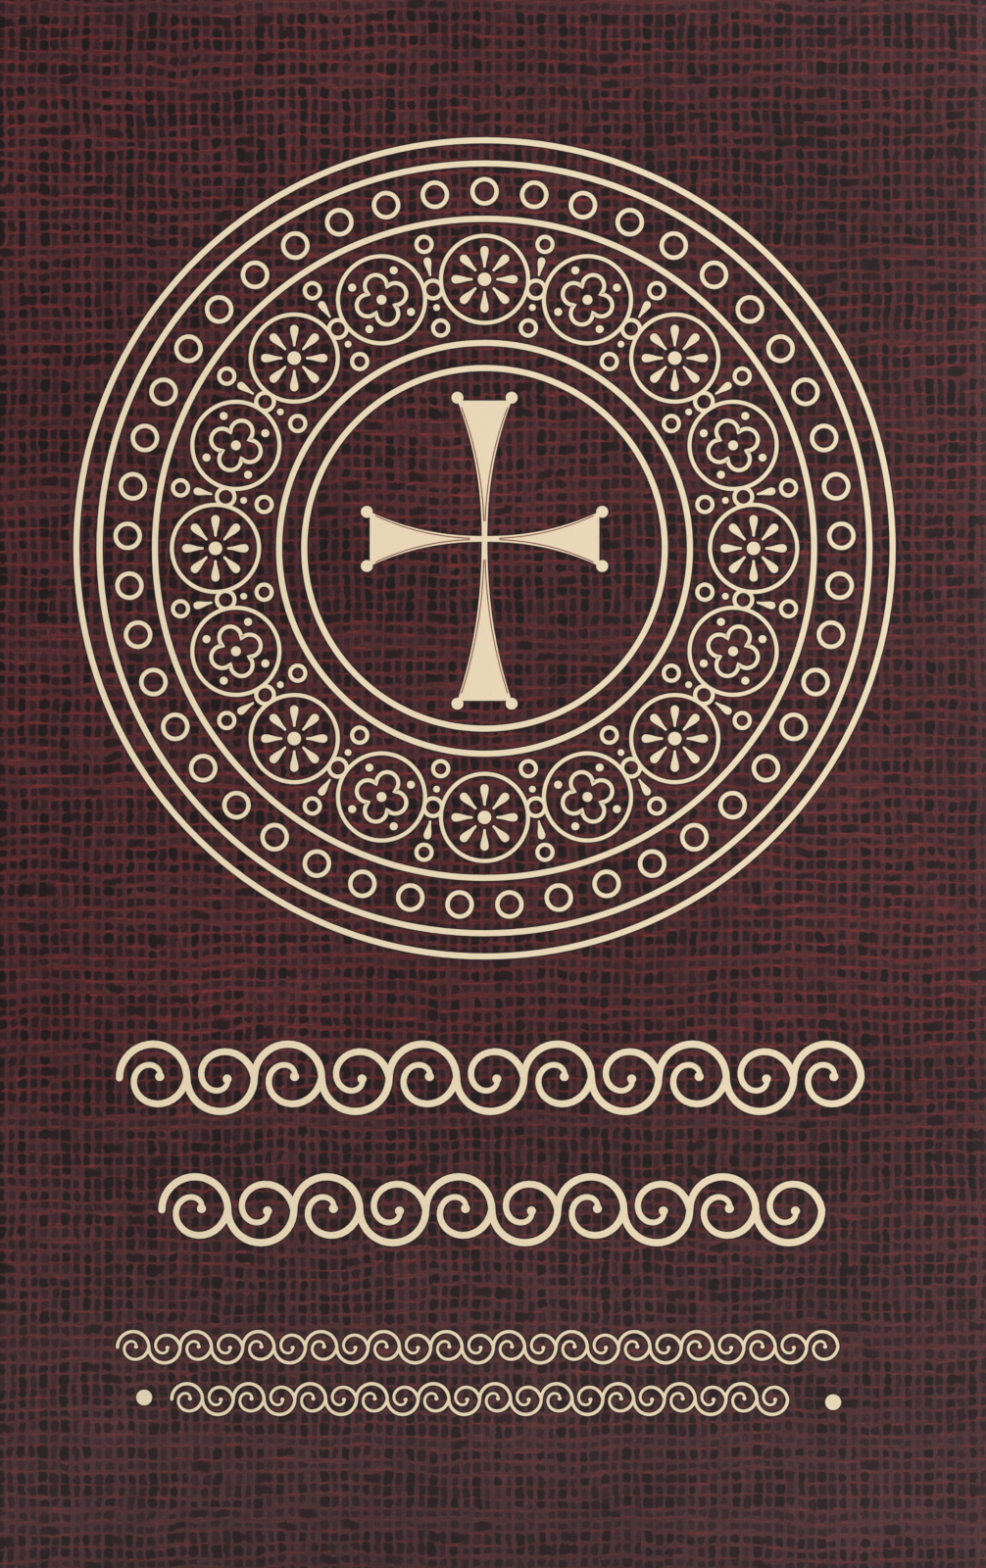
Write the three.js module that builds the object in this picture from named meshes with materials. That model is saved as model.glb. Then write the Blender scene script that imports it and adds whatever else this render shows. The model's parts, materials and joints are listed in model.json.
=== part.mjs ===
// A soft-cover prayer book, closed and standing on its tail edge.
//
// Frame: millimetres, +Z up. The origin is the centre of the foot. X runs across the cover, from the spine at -X to
// the fore-edge at +X. Y runs through the thickness, with the front cover at -Y. Z runs from the tail to the head.
//
// The book is a sewn block in a laminated card cover, trimmed flush on three sides. The block is made of sections,
// each a stack of sheets folded once, with a thread through its fold. Glue holds the backs of the folds together, a
// paper lining is stuck over the glue, and the card is stuck over the lining. The book opens at both edges of the
// spine and in the middle of the block, so everything on the spine is divided there.
import * as THREE from "three";

// ---- driving dimensions ----
const WIDTH = 126; // spine to fore-edge
const HEIGHT = 200; // tail to head
const CARD = 0.35; // cover card with its laminating film
const LINING = 0.15; // paper lining over the glue
const GLUE = 0.35; // glue between the lining and the backs of the folds
const GLUE_KEY = 0.45; // how far the glue reaches in between two folds
const LEAF = 0.1; // one leaf of text paper
const LEAVES = 16; // leaves in a section: 8 sheets folded once, 32 pages
const SECTIONS = 12;
const AIR = 0.06; // between neighbouring sections
const FIT = 0.05; // between the other layers
const TURN_IN = 1.2; // width of the card strip beside each fold of the cover
const THREAD = 0.4; // sewing thread
const THREAD_ROOM = 0.9; // across the hollow of the fold, where the thread runs
const THREAD_END = 12; // from each end of the thread's run to the head or the tail
const ARC_STEPS = 12; // in half a turn

// ---- finishes ----
const PRINTED_CARD = { color: 0x572d34, roughness: 0.5, metalness: 0 };
const PAGE_PAPER = { color: 0xece5d3, roughness: 0.9, metalness: 0 };
const LINING_PAPER = { color: 0xd6cdb8, roughness: 0.95, metalness: 0 };
const DRY_GLUE = { color: 0xe6dfc6, roughness: 0.35, metalness: 0 };
const LINEN_THREAD = { color: 0xf2ecdc, roughness: 0.85, metalness: 0 };

// ---- worked out from them ----
const SECTION = LEAVES * LEAF;
const PITCH = SECTION + AIR;
const THICKNESS = SECTIONS * PITCH - AIR + 2 * (FIT + CARD);
const SPINE = -WIDTH / 2; // outer face of the spine
const FORE_EDGE = WIDTH / 2;
const FRONT = -THICKNESS / 2; // outer face of the front cover
const BACK = THICKNESS / 2;
const LINING_AT = SPINE + CARD + FIT;
const GLUE_AT = LINING_AT + LINING + FIT;
const FOLD_AT = GLUE_AT + GLUE + FIT; // backs of the folds
const NOSE = SECTION / 2; // radius of a fold
const NOSE_CENTRE = FOLD_AT + NOSE;
const MIDDLE = AIR / 2; // half the opening in the middle of the spine
const INSIDE = CARD + FIT; // depth of the block below each cover's outer face

const part = new THREE.Group();

// Adds one closed outline, drawn in X and Y, standing from the tail to the head unless it stops short of both.
function add(name, outline, finish, short = 0) {
  const upright = { depth: HEIGHT - 2 * short, bevelEnabled: false, curveSegments: ARC_STEPS };
  const mesh = new THREE.Mesh(
    new THREE.ExtrudeGeometry(outline, upright),
    new THREE.MeshStandardMaterial(finish),
  );
  mesh.name = name;
  mesh.position.z = short;
  part.add(mesh);
}

function outlineOf(corners) {
  return new THREE.Shape(corners.map(([x, y]) => new THREE.Vector2(x, y)));
}

function rectangle(x0, y0, x1, y1) {
  return outlineOf([
    [x0, y0],
    [x1, y0],
    [x1, y1],
    [x0, y1],
  ]);
}

// Sections are counted from the front cover, from 0.
const sectionMiddle = (index) => FRONT + INSIDE + index * PITCH + SECTION / 2;

const numbered = (name, index) => `${name}_${String(index + 1).padStart(2, "0")}`;

// ---- the cover: two panels, and a spine that turns in beside each of them ----
function coverPanel(name, outer, inner) {
  const low = Math.min(outer, inner);
  const high = Math.max(outer, inner);
  add(name, rectangle(SPINE + TURN_IN, low, FORE_EDGE, high), PRINTED_CARD);
}

// side is -1 for the front half of the spine and 1 for the back half.
function spineHalf(name, side) {
  const edge = side * BACK;
  const inside = edge - side * CARD;
  const middle = side * MIDDLE;
  const corners = [
    [SPINE, middle],
    [SPINE, edge],
    [SPINE + TURN_IN - FIT, edge],
    [SPINE + TURN_IN - FIT, inside],
    [SPINE + CARD, inside],
    [SPINE + CARD, middle],
  ];
  add(name, outlineOf(side < 0 ? corners : corners.reverse()), PRINTED_CARD);
}

function liningHalf(name, side) {
  const ends = [side * MIDDLE, side * (BACK - INSIDE)];
  add(name, rectangle(LINING_AT, Math.min(...ends), LINING_AT + LINING, Math.max(...ends)), LINING_PAPER);
}

// The glue is flat on the lining side, and reaches in between the folds on the other.
function glueHalf(name, side) {
  const first = side < 0 ? 0 : SECTIONS / 2;
  const foot = sectionMiddle(first) - NOSE;
  const top = sectionMiddle(first + SECTIONS / 2 - 1) + NOSE;
  const reach = FOLD_AT + GLUE_KEY;
  const radius = NOSE + FIT;
  const halfAngle = Math.acos((NOSE_CENTRE - reach) / radius);
  const outline = new THREE.Shape();
  outline.moveTo(GLUE_AT, top);
  outline.lineTo(GLUE_AT, foot);
  outline.lineTo(reach, foot);
  for (let index = first; index < first + SECTIONS / 2; index++)
    outline.absarc(NOSE_CENTRE, sectionMiddle(index), radius, Math.PI + halfAngle, Math.PI - halfAngle, true);
  outline.lineTo(reach, top);
  outline.closePath();
  add(name, outline, DRY_GLUE);
}

// ---- a section: flat leaves, a round fold, and the hollow inside it ----
function section(index) {
  const middle = sectionMiddle(index);
  const outline = new THREE.Shape();
  outline.moveTo(FORE_EDGE, middle - NOSE);
  outline.lineTo(FORE_EDGE, middle + NOSE);
  outline.lineTo(NOSE_CENTRE, middle + NOSE);
  outline.absarc(NOSE_CENTRE, middle, NOSE, Math.PI / 2, Math.PI * 1.5, false);
  outline.closePath();
  const hollow = new THREE.Path();
  hollow.absarc(NOSE_CENTRE, middle, THREAD_ROOM / 2, 0, Math.PI * 2, true);
  outline.holes.push(hollow);
  add(numbered("section", index), outline, PAGE_PAPER);
}

function sewingThread(index) {
  const outline = new THREE.Shape();
  outline.absarc(NOSE_CENTRE, sectionMiddle(index), THREAD / 2, 0, Math.PI * 2, false);
  add(numbered("sewing_thread", index), outline, LINEN_THREAD, THREAD_END);
}

coverPanel("front_cover_panel", FRONT, FRONT + CARD);
coverPanel("back_cover_panel", BACK, BACK - CARD);
spineHalf("spine_cover_front_half", -1);
spineHalf("spine_cover_back_half", 1);
liningHalf("spine_lining_front_half", -1);
liningHalf("spine_lining_back_half", 1);
glueHalf("spine_glue_front_half", -1);
glueHalf("spine_glue_back_half", 1);
for (let index = 0; index < SECTIONS; index++) {
  section(index);
  sewingThread(index);
}

export default part;
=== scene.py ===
"""A soft-cover prayer book, standing closed on its tail edge, with its front cover towards the camera.

Lengths are in millimetres, and become metres as a mesh or the camera is made. Only the lights and the size
of the floor are given in metres. X runs from the spine to the fore-edge, Y from the front cover to the back
cover, and Z from the tail to the head.
"""

import json
import math
import random

import bpy
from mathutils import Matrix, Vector

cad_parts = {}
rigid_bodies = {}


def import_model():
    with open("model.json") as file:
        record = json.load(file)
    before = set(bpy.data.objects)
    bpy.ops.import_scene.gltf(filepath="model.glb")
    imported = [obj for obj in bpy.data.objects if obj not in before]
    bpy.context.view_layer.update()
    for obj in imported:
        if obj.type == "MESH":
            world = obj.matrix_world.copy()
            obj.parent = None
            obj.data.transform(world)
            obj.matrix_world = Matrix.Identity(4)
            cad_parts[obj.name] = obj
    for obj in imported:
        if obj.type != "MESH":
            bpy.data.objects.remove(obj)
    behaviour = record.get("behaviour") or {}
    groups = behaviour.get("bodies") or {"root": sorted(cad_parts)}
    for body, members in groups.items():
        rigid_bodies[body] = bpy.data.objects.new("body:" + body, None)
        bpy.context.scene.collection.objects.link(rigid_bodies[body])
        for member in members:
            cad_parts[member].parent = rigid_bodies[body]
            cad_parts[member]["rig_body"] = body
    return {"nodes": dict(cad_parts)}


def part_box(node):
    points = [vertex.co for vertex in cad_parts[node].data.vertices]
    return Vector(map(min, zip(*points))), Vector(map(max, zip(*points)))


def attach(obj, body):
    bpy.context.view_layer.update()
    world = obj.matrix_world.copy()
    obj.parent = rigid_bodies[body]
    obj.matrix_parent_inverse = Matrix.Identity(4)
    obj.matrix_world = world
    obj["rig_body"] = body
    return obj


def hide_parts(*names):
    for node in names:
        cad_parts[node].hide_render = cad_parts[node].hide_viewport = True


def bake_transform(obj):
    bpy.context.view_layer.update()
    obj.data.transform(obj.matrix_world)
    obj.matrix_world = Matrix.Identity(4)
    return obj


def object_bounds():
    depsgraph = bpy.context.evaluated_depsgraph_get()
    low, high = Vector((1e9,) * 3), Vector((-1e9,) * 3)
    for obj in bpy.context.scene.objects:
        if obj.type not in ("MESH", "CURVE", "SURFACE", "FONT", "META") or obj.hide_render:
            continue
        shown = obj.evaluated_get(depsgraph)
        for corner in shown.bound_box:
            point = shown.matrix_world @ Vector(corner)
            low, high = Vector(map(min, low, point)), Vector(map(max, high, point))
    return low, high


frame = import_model()
CAD_LOW, CAD_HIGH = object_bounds()

MM = 0.001


def box_mm(node):
    """The lowest and highest corner of a CAD node, in millimetres."""
    low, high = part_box(node)
    return low / MM, high / MM


# ---- sizes taken from the frame ----
SPINE, FRONT, TAIL = (value / MM for value in CAD_LOW)
FORE_EDGE, BACK, HEAD = (value / MM for value in CAD_HIGH)
PANEL_LOW, PANEL_HIGH = box_mm("front_cover_panel")
CARD = PANEL_HIGH.y - PANEL_LOW.y
SECTIONS = sum(name.startswith("section_") for name in frame["nodes"])
SECTION_LOW, SECTION_HIGH = box_mm("section_01")
NOSE = (SECTION_HIGH.y - SECTION_LOW.y) / 2  # radius of a folded edge
NOSE_X = SECTION_LOW.x + NOSE
THREAD_LOW, THREAD_HIGH = box_mm("sewing_thread_01")
THREAD = THREAD_HIGH.x - THREAD_LOW.x
LINING_LOW, LINING_HIGH = box_mm("spine_lining_front_half")
GLUE_LOW, GLUE_HIGH = box_mm("spine_glue_front_half")

# ---- the card ----
RECESS = 0.03  # the printed face lies this far inside the CAD solid, to leave room for the print
CORNER = 0.45  # radius of the card's bend beside the spine
CORNER_ARC = math.pi * CORNER / 2  # length of that bend
SEAM = 1.7  # from each face of the book to the join between its cover piece and the spine piece
EDGE_BAND = 2.2  # width of the trimmed edges' soft roll-off
EDGE_DROP = 0.13  # depth of the roll-off
MIDDLE_BEND = 0.7  # half the width of the part of the spine that bends as the book opens
EDGE_STEP = 0.2  # between the card's points in a roll-off
FACE_STEP = 12.0  # between its points elsewhere
CORNER_STEPS = 12
SEAM_STEPS = 3  # from the seam to the bend

# ---- the block ----
LEAVES = 16  # in a section: 8 sheets, each folded once
SHEETS = LEAVES // 2
LEAF = 2 * NOSE / LEAVES
LEAST_GAP, MOST_GAP = 0.002, 0.006  # between neighbouring sheets
TRIM = 0.05  # how unevenly the sheets are trimmed, at most
TRIM_SEED = 12
HOLLOW = THREAD / 2 + 0.03  # radius of the space that the thread keeps open in the fold
CLOSING = 2.4  # how far from the fold the leaves come together
FLATS = [0.15, 0.4, 0.7, 1.1, 1.6, CLOSING, 6.0, 20.0, 60.0]  # a leaf's points, from the fold
FOLD_STEPS = 13
GLUE_FIT = 0.05  # between the glue and the folds
LINING_STEPS = 160
GLUE_STEPS = 240

# ---- the rows on a page ----
PAGE_WIDTH = FORE_EDGE - NOSE_X
PAGE_HEIGHT = HEAD - TAIL
LINE_PITCH = 4.6
MARGIN = 14.0  # at the sides of a page
MARGIN_TAIL = 20.0
MARGIN_HEAD = 20.0
SHORT_ROW = 58.0  # length of a paragraph's last row

# ---- layout of the front cover, from its middle and from the tail ----
MEDALLION = (-0.98, 130.0)
RING_STROKE = 0.75
RINGS = (51.95, 49.0, 41.95, 26.15, 22.95)
BEADS = 45
BEAD_CIRCLE = 45.45
BEAD_RADIUS = 1.54
BEAD_STROKE = 0.55
ROUNDELS = 16
ROUNDEL_CIRCLE = 34.25
ROUNDEL_RADIUS = 5.55
THIN = 0.5  # stroke inside and between the roundels
LINK_CIRCLE = ROUNDEL_CIRCLE * math.cos(math.pi / ROUNDELS)
LINK_RADIUS = ROUNDEL_CIRCLE * math.sin(math.pi / ROUNDELS) - ROUNDEL_RADIUS
RINGLET_RADIUS = 0.97
RING_STEPS, ROUNDEL_STEPS, SMALL_STEPS = 180, 72, 28  # round the rings, the roundels, and the rest
OUTER_FILLER = 39.45  # circle of the ringlets outside the links
INNER_FILLER = 28.6  # circle of the ringlets inside them
CROSS_RISE = 1.2  # from the medallion's centre to where the arms cross
ARM_UP = 17.6
ARM_ASIDE = 14.6
ARM_DOWN = 20.6
ARM_WAIST = 0.35  # half the width of an arm where the arms cross
ARM_FLARE = 3.1  # how much wider each half is at the end of the arm
ARM_CURVE = 2.2  # 1 is a straight flare, and more keeps the arm slender for longer
ARM_STEPS = 30
ARM_CORNER = 0.75  # radius of the dot at each corner of an arm
RED_INSET = 0.3  # from the edge of an arm to the red line inside it
RED_STROKE = 0.14
BANDS = (  # left end, right end, middle height, hollows, stroke
    (-47.9, 47.4, 62.6, 11, 0.9),
    (-42.5, 42.4, 45.8, 10, 0.9),
    (-47.9, 44.2, 28.3, 23, 0.4),
    (-41.0, 37.8, 21.7, 20, 0.4),
)
BAND_DOTS = ((-44.3, 21.9), (43.4, 21.3))
BAND_DOT_RADIUS = 1.0

# How far the print stands above the card, so that no two layers lie in one plane.
LEVEL_OUTLINE = 0.004
LEVEL_RINGS = 0.010
LEVEL_THIN = 0.013
LEVEL_DOTS = 0.016
LEVEL_CROSS = 0.013
LEVEL_RED = 0.019
LEVEL_STEP = 0.001  # between two shapes of one layer that lap over each other
ROOTED = 0.004  # how far every layer reaches below the card's face
OUTLINE = 0.16  # how far the dark outline shows beyond the cream

# ---- camera, light and floor ----
LENS = 85.0
SENSOR = 36.0
CAMERA_NEARER = 0.998  # so that the edges of the cover just leave the picture
CAMERA_ASIDE = 0.1
WORLD_COLOUR = (0.97, 0.965, 0.955, 1.0)
WORLD_STRENGTH = 0.3
SKY_ENERGY = 0.55
SKY_ANGLE = 50
SKY_WAY = (-0.4, 0.75, -0.8)
LIGHTS_AIM = (0, 0, 0.1)
AREA_LIGHTS = (  # name, place and size in metres, power in watts, spread in degrees
    ("key", (0.55, -0.5, 0.45), (0.5, 0.5), 1.27, 90),
    ("sheen", (0.34, -0.72, 0.12), (0.35, 0.35), 0.075, 60),
    ("fill", (-1.2, -0.9, 0.9), (1.2, 1.2), 0.95, 120),
    ("back", (0.5, 1.4, 1.3), (1.4, 1.0), 12, 180),
)
FLOOR_SIZE = 16  # metres
FLOOR_DROP = 0.02  # below the tail, so that the floor and the book's foot don't lie in one plane


# ==============================================================================
# Meshes
# ==============================================================================
class Mesh:
    """The points and faces of one piece, in millimetres, with a surface place (u, v) at each point."""

    def __init__(self):
        self.points = []
        self.coordinates = []
        self.faces = []
        self.slots = []

    def point(self, x, y, z, u, v):
        self.points.append((x * MM, y * MM, z * MM))
        self.coordinates.append((u, v))
        return len(self.points) - 1

    def face(self, corners, slot):
        self.faces.append(tuple(corners))
        self.slots.append(slot)

    def grid(self, rows, slot=0, flip=False):
        """Faces between rows of point numbers."""
        for near, far in zip(rows, rows[1:]):
            for i in range(len(near) - 1):
                corners = (near[i], near[i + 1], far[i + 1], far[i])
                self.face(corners[::-1] if flip else corners, slot)

    def made(self, name, materials, smooth_below=35):
        mesh = bpy.data.meshes.new(name)
        mesh.from_pydata(self.points, [], self.faces)
        for material in materials:
            mesh.materials.append(material)
        mesh.polygons.foreach_set("material_index", self.slots)
        layer = mesh.uv_layers.new(name="surface")
        for loop in mesh.loops:
            layer.data[loop.index].uv = self.coordinates[loop.vertex_index]
        mesh.polygons.foreach_set("use_smooth", [True] * len(self.faces))
        mesh.set_sharp_from_angle(angle=math.radians(smooth_below))
        mesh.update()
        piece = bpy.data.objects.new(name, mesh)
        bpy.context.scene.collection.objects.link(piece)
        return piece


def smoothstep(t):
    t = min(max(t, 0.0), 1.0)
    return t * t * (3 - 2 * t)


def spread(low, high, fine, band, coarse):
    """Places from low to high, about `fine` apart within `band` of each end and `coarse` apart between."""
    edge = max(2, round(band / fine))
    inner = max(2, round((high - low - 2 * band) / coarse))
    places = [low + band * i / edge for i in range(edge)]
    places += [low + band + (high - low - 2 * band) * i / inner for i in range(inner)]
    places += [high - band + band * i / edge for i in range(edge + 1)]
    return places


# ==============================================================================
# Materials
# ==============================================================================
class Shader:
    """One material's nodes, with its arithmetic written as calls."""

    def __init__(self, name):
        self.material = bpy.data.materials.new(name)
        self.material.use_nodes = True
        self.tree = self.material.node_tree
        self.surface = self.tree.nodes["Principled BSDF"]

    def put(self, socket, value):
        if isinstance(value, bpy.types.NodeSocket):
            self.tree.links.new(value, socket)
        else:
            socket.default_value = value

    def maths(self, operation, *values):
        node = self.tree.nodes.new("ShaderNodeMath")
        node.operation = operation
        for socket, value in zip(node.inputs, values):
            self.put(socket, value)
        return node.outputs[0]

    def add(self, a, b):
        return self.maths("ADD", a, b)

    def minus(self, a, b):
        return self.maths("SUBTRACT", a, b)

    def times(self, a, b):
        return self.maths("MULTIPLY", a, b)

    def ramp(self, value, low, high, to_low=0.0, to_high=1.0, shape="SMOOTHSTEP"):
        node = self.tree.nodes.new("ShaderNodeMapRange")
        node.interpolation_type = shape
        for socket, given in zip(node.inputs, (value, low, high, to_low, to_high)):
            self.put(socket, given)
        return node.outputs[0]

    def vector(self, x, y, z=0.0):
        node = self.tree.nodes.new("ShaderNodeCombineXYZ")
        for socket, value in zip(node.inputs, (x, y, z)):
            self.put(socket, value)
        return node.outputs[0]

    def parts(self, vector):
        """The three parts of a vector."""
        node = self.tree.nodes.new("ShaderNodeSeparateXYZ")
        self.put(node.inputs[0], vector)
        return tuple(node.outputs)

    def surface_place(self):
        """The two surface coordinates, in millimetres."""
        place = self.tree.nodes.new("ShaderNodeUVMap")
        place.uv_map = "surface"
        return self.parts(place.outputs[0])[:2]

    def body_place(self):
        """The point in the object's own space, in metres."""
        return self.tree.nodes.new("ShaderNodeTexCoord").outputs["Object"]

    def noise(self, place, scale, detail=2.0, roughness=0.5):
        node = self.tree.nodes.new("ShaderNodeTexNoise")
        self.put(node.inputs["Vector"], place)
        self.put(node.inputs["Scale"], scale)
        self.put(node.inputs["Detail"], detail)
        self.put(node.inputs["Roughness"], roughness)
        return node.outputs["Fac"]

    def chance(self, x, y):
        """A fixed random number from 0 to 1 for each x and y. A fraction added to either draws another."""
        node = self.tree.nodes.new("ShaderNodeTexWhiteNoise")
        node.noise_dimensions = "2D"
        self.put(node.inputs["Vector"], self.vector(x, y))
        return node.outputs["Value"]

    def mix(self, share, a, b, blend="MIX"):
        node = self.tree.nodes.new("ShaderNodeMix")
        node.data_type = "RGBA"
        node.blend_type = blend
        self.put(node.inputs[0], share)
        for socket, value in ((node.inputs[6], a), (node.inputs[7], b)):
            self.put(socket, value)
        return node.outputs[2]

    def toned(self, colour, tone):
        """The colour, made lighter or darker by a tone that is 1 where it stays as it is."""
        return self.mix(1.0, colour, self.vector(tone, tone, tone), "MULTIPLY")

    def bump(self, height, strength, distance):
        node = self.tree.nodes.new("ShaderNodeBump")
        self.put(node.inputs["Height"], height)
        node.inputs["Strength"].default_value = strength
        node.inputs["Distance"].default_value = distance
        self.put(self.surface.inputs["Normal"], node.outputs[0])

    def finish(self, colour, roughness, shine):
        self.put(self.surface.inputs["Base Color"], colour)
        self.put(self.surface.inputs["Roughness"], roughness)
        self.surface.inputs["Specular IOR Level"].default_value = shine
        return self.material


def paint(red, green, blue):
    """A colour as read on a screen, 0 to 255, in the linear values that shaders use."""
    shares = (red / 255, green / 255, blue / 255)
    linear = [c / 12.92 if c <= 0.04045 else ((c + 0.055) / 1.055) ** 2.4 for c in shares]
    return (*linear, 1.0)


# ---- the printed cloth ----
WARP_PITCH = 1.375
WEFT_PITCH = 1.56
HOLE_INK = paint(14, 11, 14)
WARP_INK = paint(73, 39, 43)
WEFT_INK = paint(92, 32, 37)
STREAK_INK = paint(130, 42, 44)
SHEEN_THREAD_INK = paint(86, 62, 64)  # painted sheen: the paler, greyer colour that the threads turn towards near the tail
SHEEN_VEIL_INK = paint(64, 48, 50)  # painted sheen: the colour that threads and holes both turn towards near the tail
SHEEN_FROM_HEIGHT = 70.0  # height below which the painted sheen grows towards the tail
# How much of the painted sheen at the tail goes on the threads, and on threads and holes together.
THREAD_SHEEN_SHARE = 0.5
VEIL_SHEEN_SHARE = 0.26
HOLE_DARKNESS = 0.94
HOLE_ROUNDNESS = 3.2  # 2 is an ellipse, and more is squarer
HOLE_SOFTNESS = 0.55
ROW_OPEN = (0.27, 0.42)  # half the height of the holes in a tight row and in an open one, in threads
COLUMN_OPEN = (0.36, 0.285)  # half the width of a wide hole and of a narrow one, in threads
LONG_HOLE = (0.38, 0.3)  # half the width, in pairs of threads, and half the height, where two run together
LONG_HOLE_DEPTH = 0.9
LONG_HOLES_FROM = 0.93  # the chance above which two holes run together
HOLE_FEATHER = 2.2  # how many times further a hole fades outwards than inwards
LAMINATE_ROUGHNESS = 0.42
LAMINATE_SHINE = 0.2


def hole(sh, across, up, half_width, half_height):
    """1 inside a rounded dark patch that is centred where across and up are zero, and 0 outside."""
    x = sh.maths("ABSOLUTE", sh.maths("DIVIDE", across, half_width))
    z = sh.maths("ABSOLUTE", sh.maths("DIVIDE", up, half_height))
    reach = sh.add(sh.maths("POWER", x, HOLE_ROUNDNESS), sh.maths("POWER", z, HOLE_ROUNDNESS))
    return sh.ramp(reach, 1.0 - HOLE_SOFTNESS, 1.0 + HOLE_FEATHER * HOLE_SOFTNESS, 1.0, 0.0)


def from_middle(sh, value):
    """A place within one thread's pitch, from -0.5 to 0.5."""
    return sh.minus(sh.maths("FRACT", value), 0.5)


def sway(sh, place, scale, reach, detail=2.0, roughness=0.5):
    """Noise that pushes to both sides of zero by about half of reach at most."""
    return sh.times(sh.minus(sh.noise(place, scale, detail, roughness), 0.5), reach)


def weave_holes(sh, across, up):
    """The dark holes between the threads. across and up count threads.

    The warp threads lie in pairs, so that wide and narrow columns of holes take turns. Some rows are tighter
    than others, and here and there two holes run together."""
    column, row = sh.maths("FLOOR", across), sh.maths("FLOOR", up)
    narrow = sh.maths("PINGPONG", column, 1.0)
    own = sh.chance(column, row)
    beside = sh.times(sh.minus(sh.chance(column, sh.add(row, 0.37)), 0.5), 0.1)
    above = sh.times(sh.minus(sh.chance(sh.add(column, 0.37), row), 0.5), 0.14)
    ragged_x = sway(sh, sh.vector(across, up, 21.0), scale=2.3, reach=0.5, roughness=0.6)
    ragged_z = sway(sh, sh.vector(across, up, 27.0), scale=2.3, reach=0.5, roughness=0.6)
    x = sh.minus(from_middle(sh, across), sh.add(beside, ragged_x))
    z = sh.minus(from_middle(sh, up), sh.add(above, ragged_z))

    row_open = sh.ramp(sh.chance(row, 77.0), 0.0, 0.6, *ROW_OPEN, "LINEAR")
    along_row = sh.noise(sh.vector(sh.times(across, 0.16), sh.times(row, 5.3), 3.0), 1.0, 2.0)
    height = sh.times(row_open, sh.ramp(along_row, 0.3, 0.7, 0.6, 1.3, "LINEAR"))
    column_open = sh.ramp(narrow, 0.0, 1.0, *COLUMN_OPEN, "LINEAR")
    column_open = sh.times(column_open, sh.ramp(sh.chance(column, 5.0), 0.0, 1.0, 0.82, 1.12, "LINEAR"))
    width = sh.times(column_open, sh.ramp(own, 0.0, 1.0, 0.8, 1.16, "LINEAR"))

    depth = sh.ramp(own, 0.0, 0.35, 0.55, 1.0, "LINEAR")
    depth = sh.times(depth, sh.ramp(narrow, 0.0, 1.0, 1.0, 0.85, "LINEAR"))
    depth = sh.times(depth, sh.ramp(row_open, ROW_OPEN[0], 0.36, 0.7, 1.0, "LINEAR"))
    single = sh.times(hole(sh, x, z, width, height), depth)

    pair = sh.maths("FLOOR", sh.times(across, 0.5))
    middle = from_middle(sh, sh.times(across, 0.5))
    lean = sh.times(sh.minus(sh.chance(pair, sh.add(row, 0.19)), 0.5), 0.9)
    long_z = sh.minus(z, sh.times(middle, lean))
    chance = sh.chance(pair, sh.add(row, 0.71))
    run_together = sh.ramp(chance, LONG_HOLES_FROM, LONG_HOLES_FROM + 0.01)
    long_hole = sh.times(hole(sh, middle, long_z, *LONG_HOLE), run_together)
    return sh.maths("MAXIMUM", single, sh.times(long_hole, LONG_HOLE_DEPTH))


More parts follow.
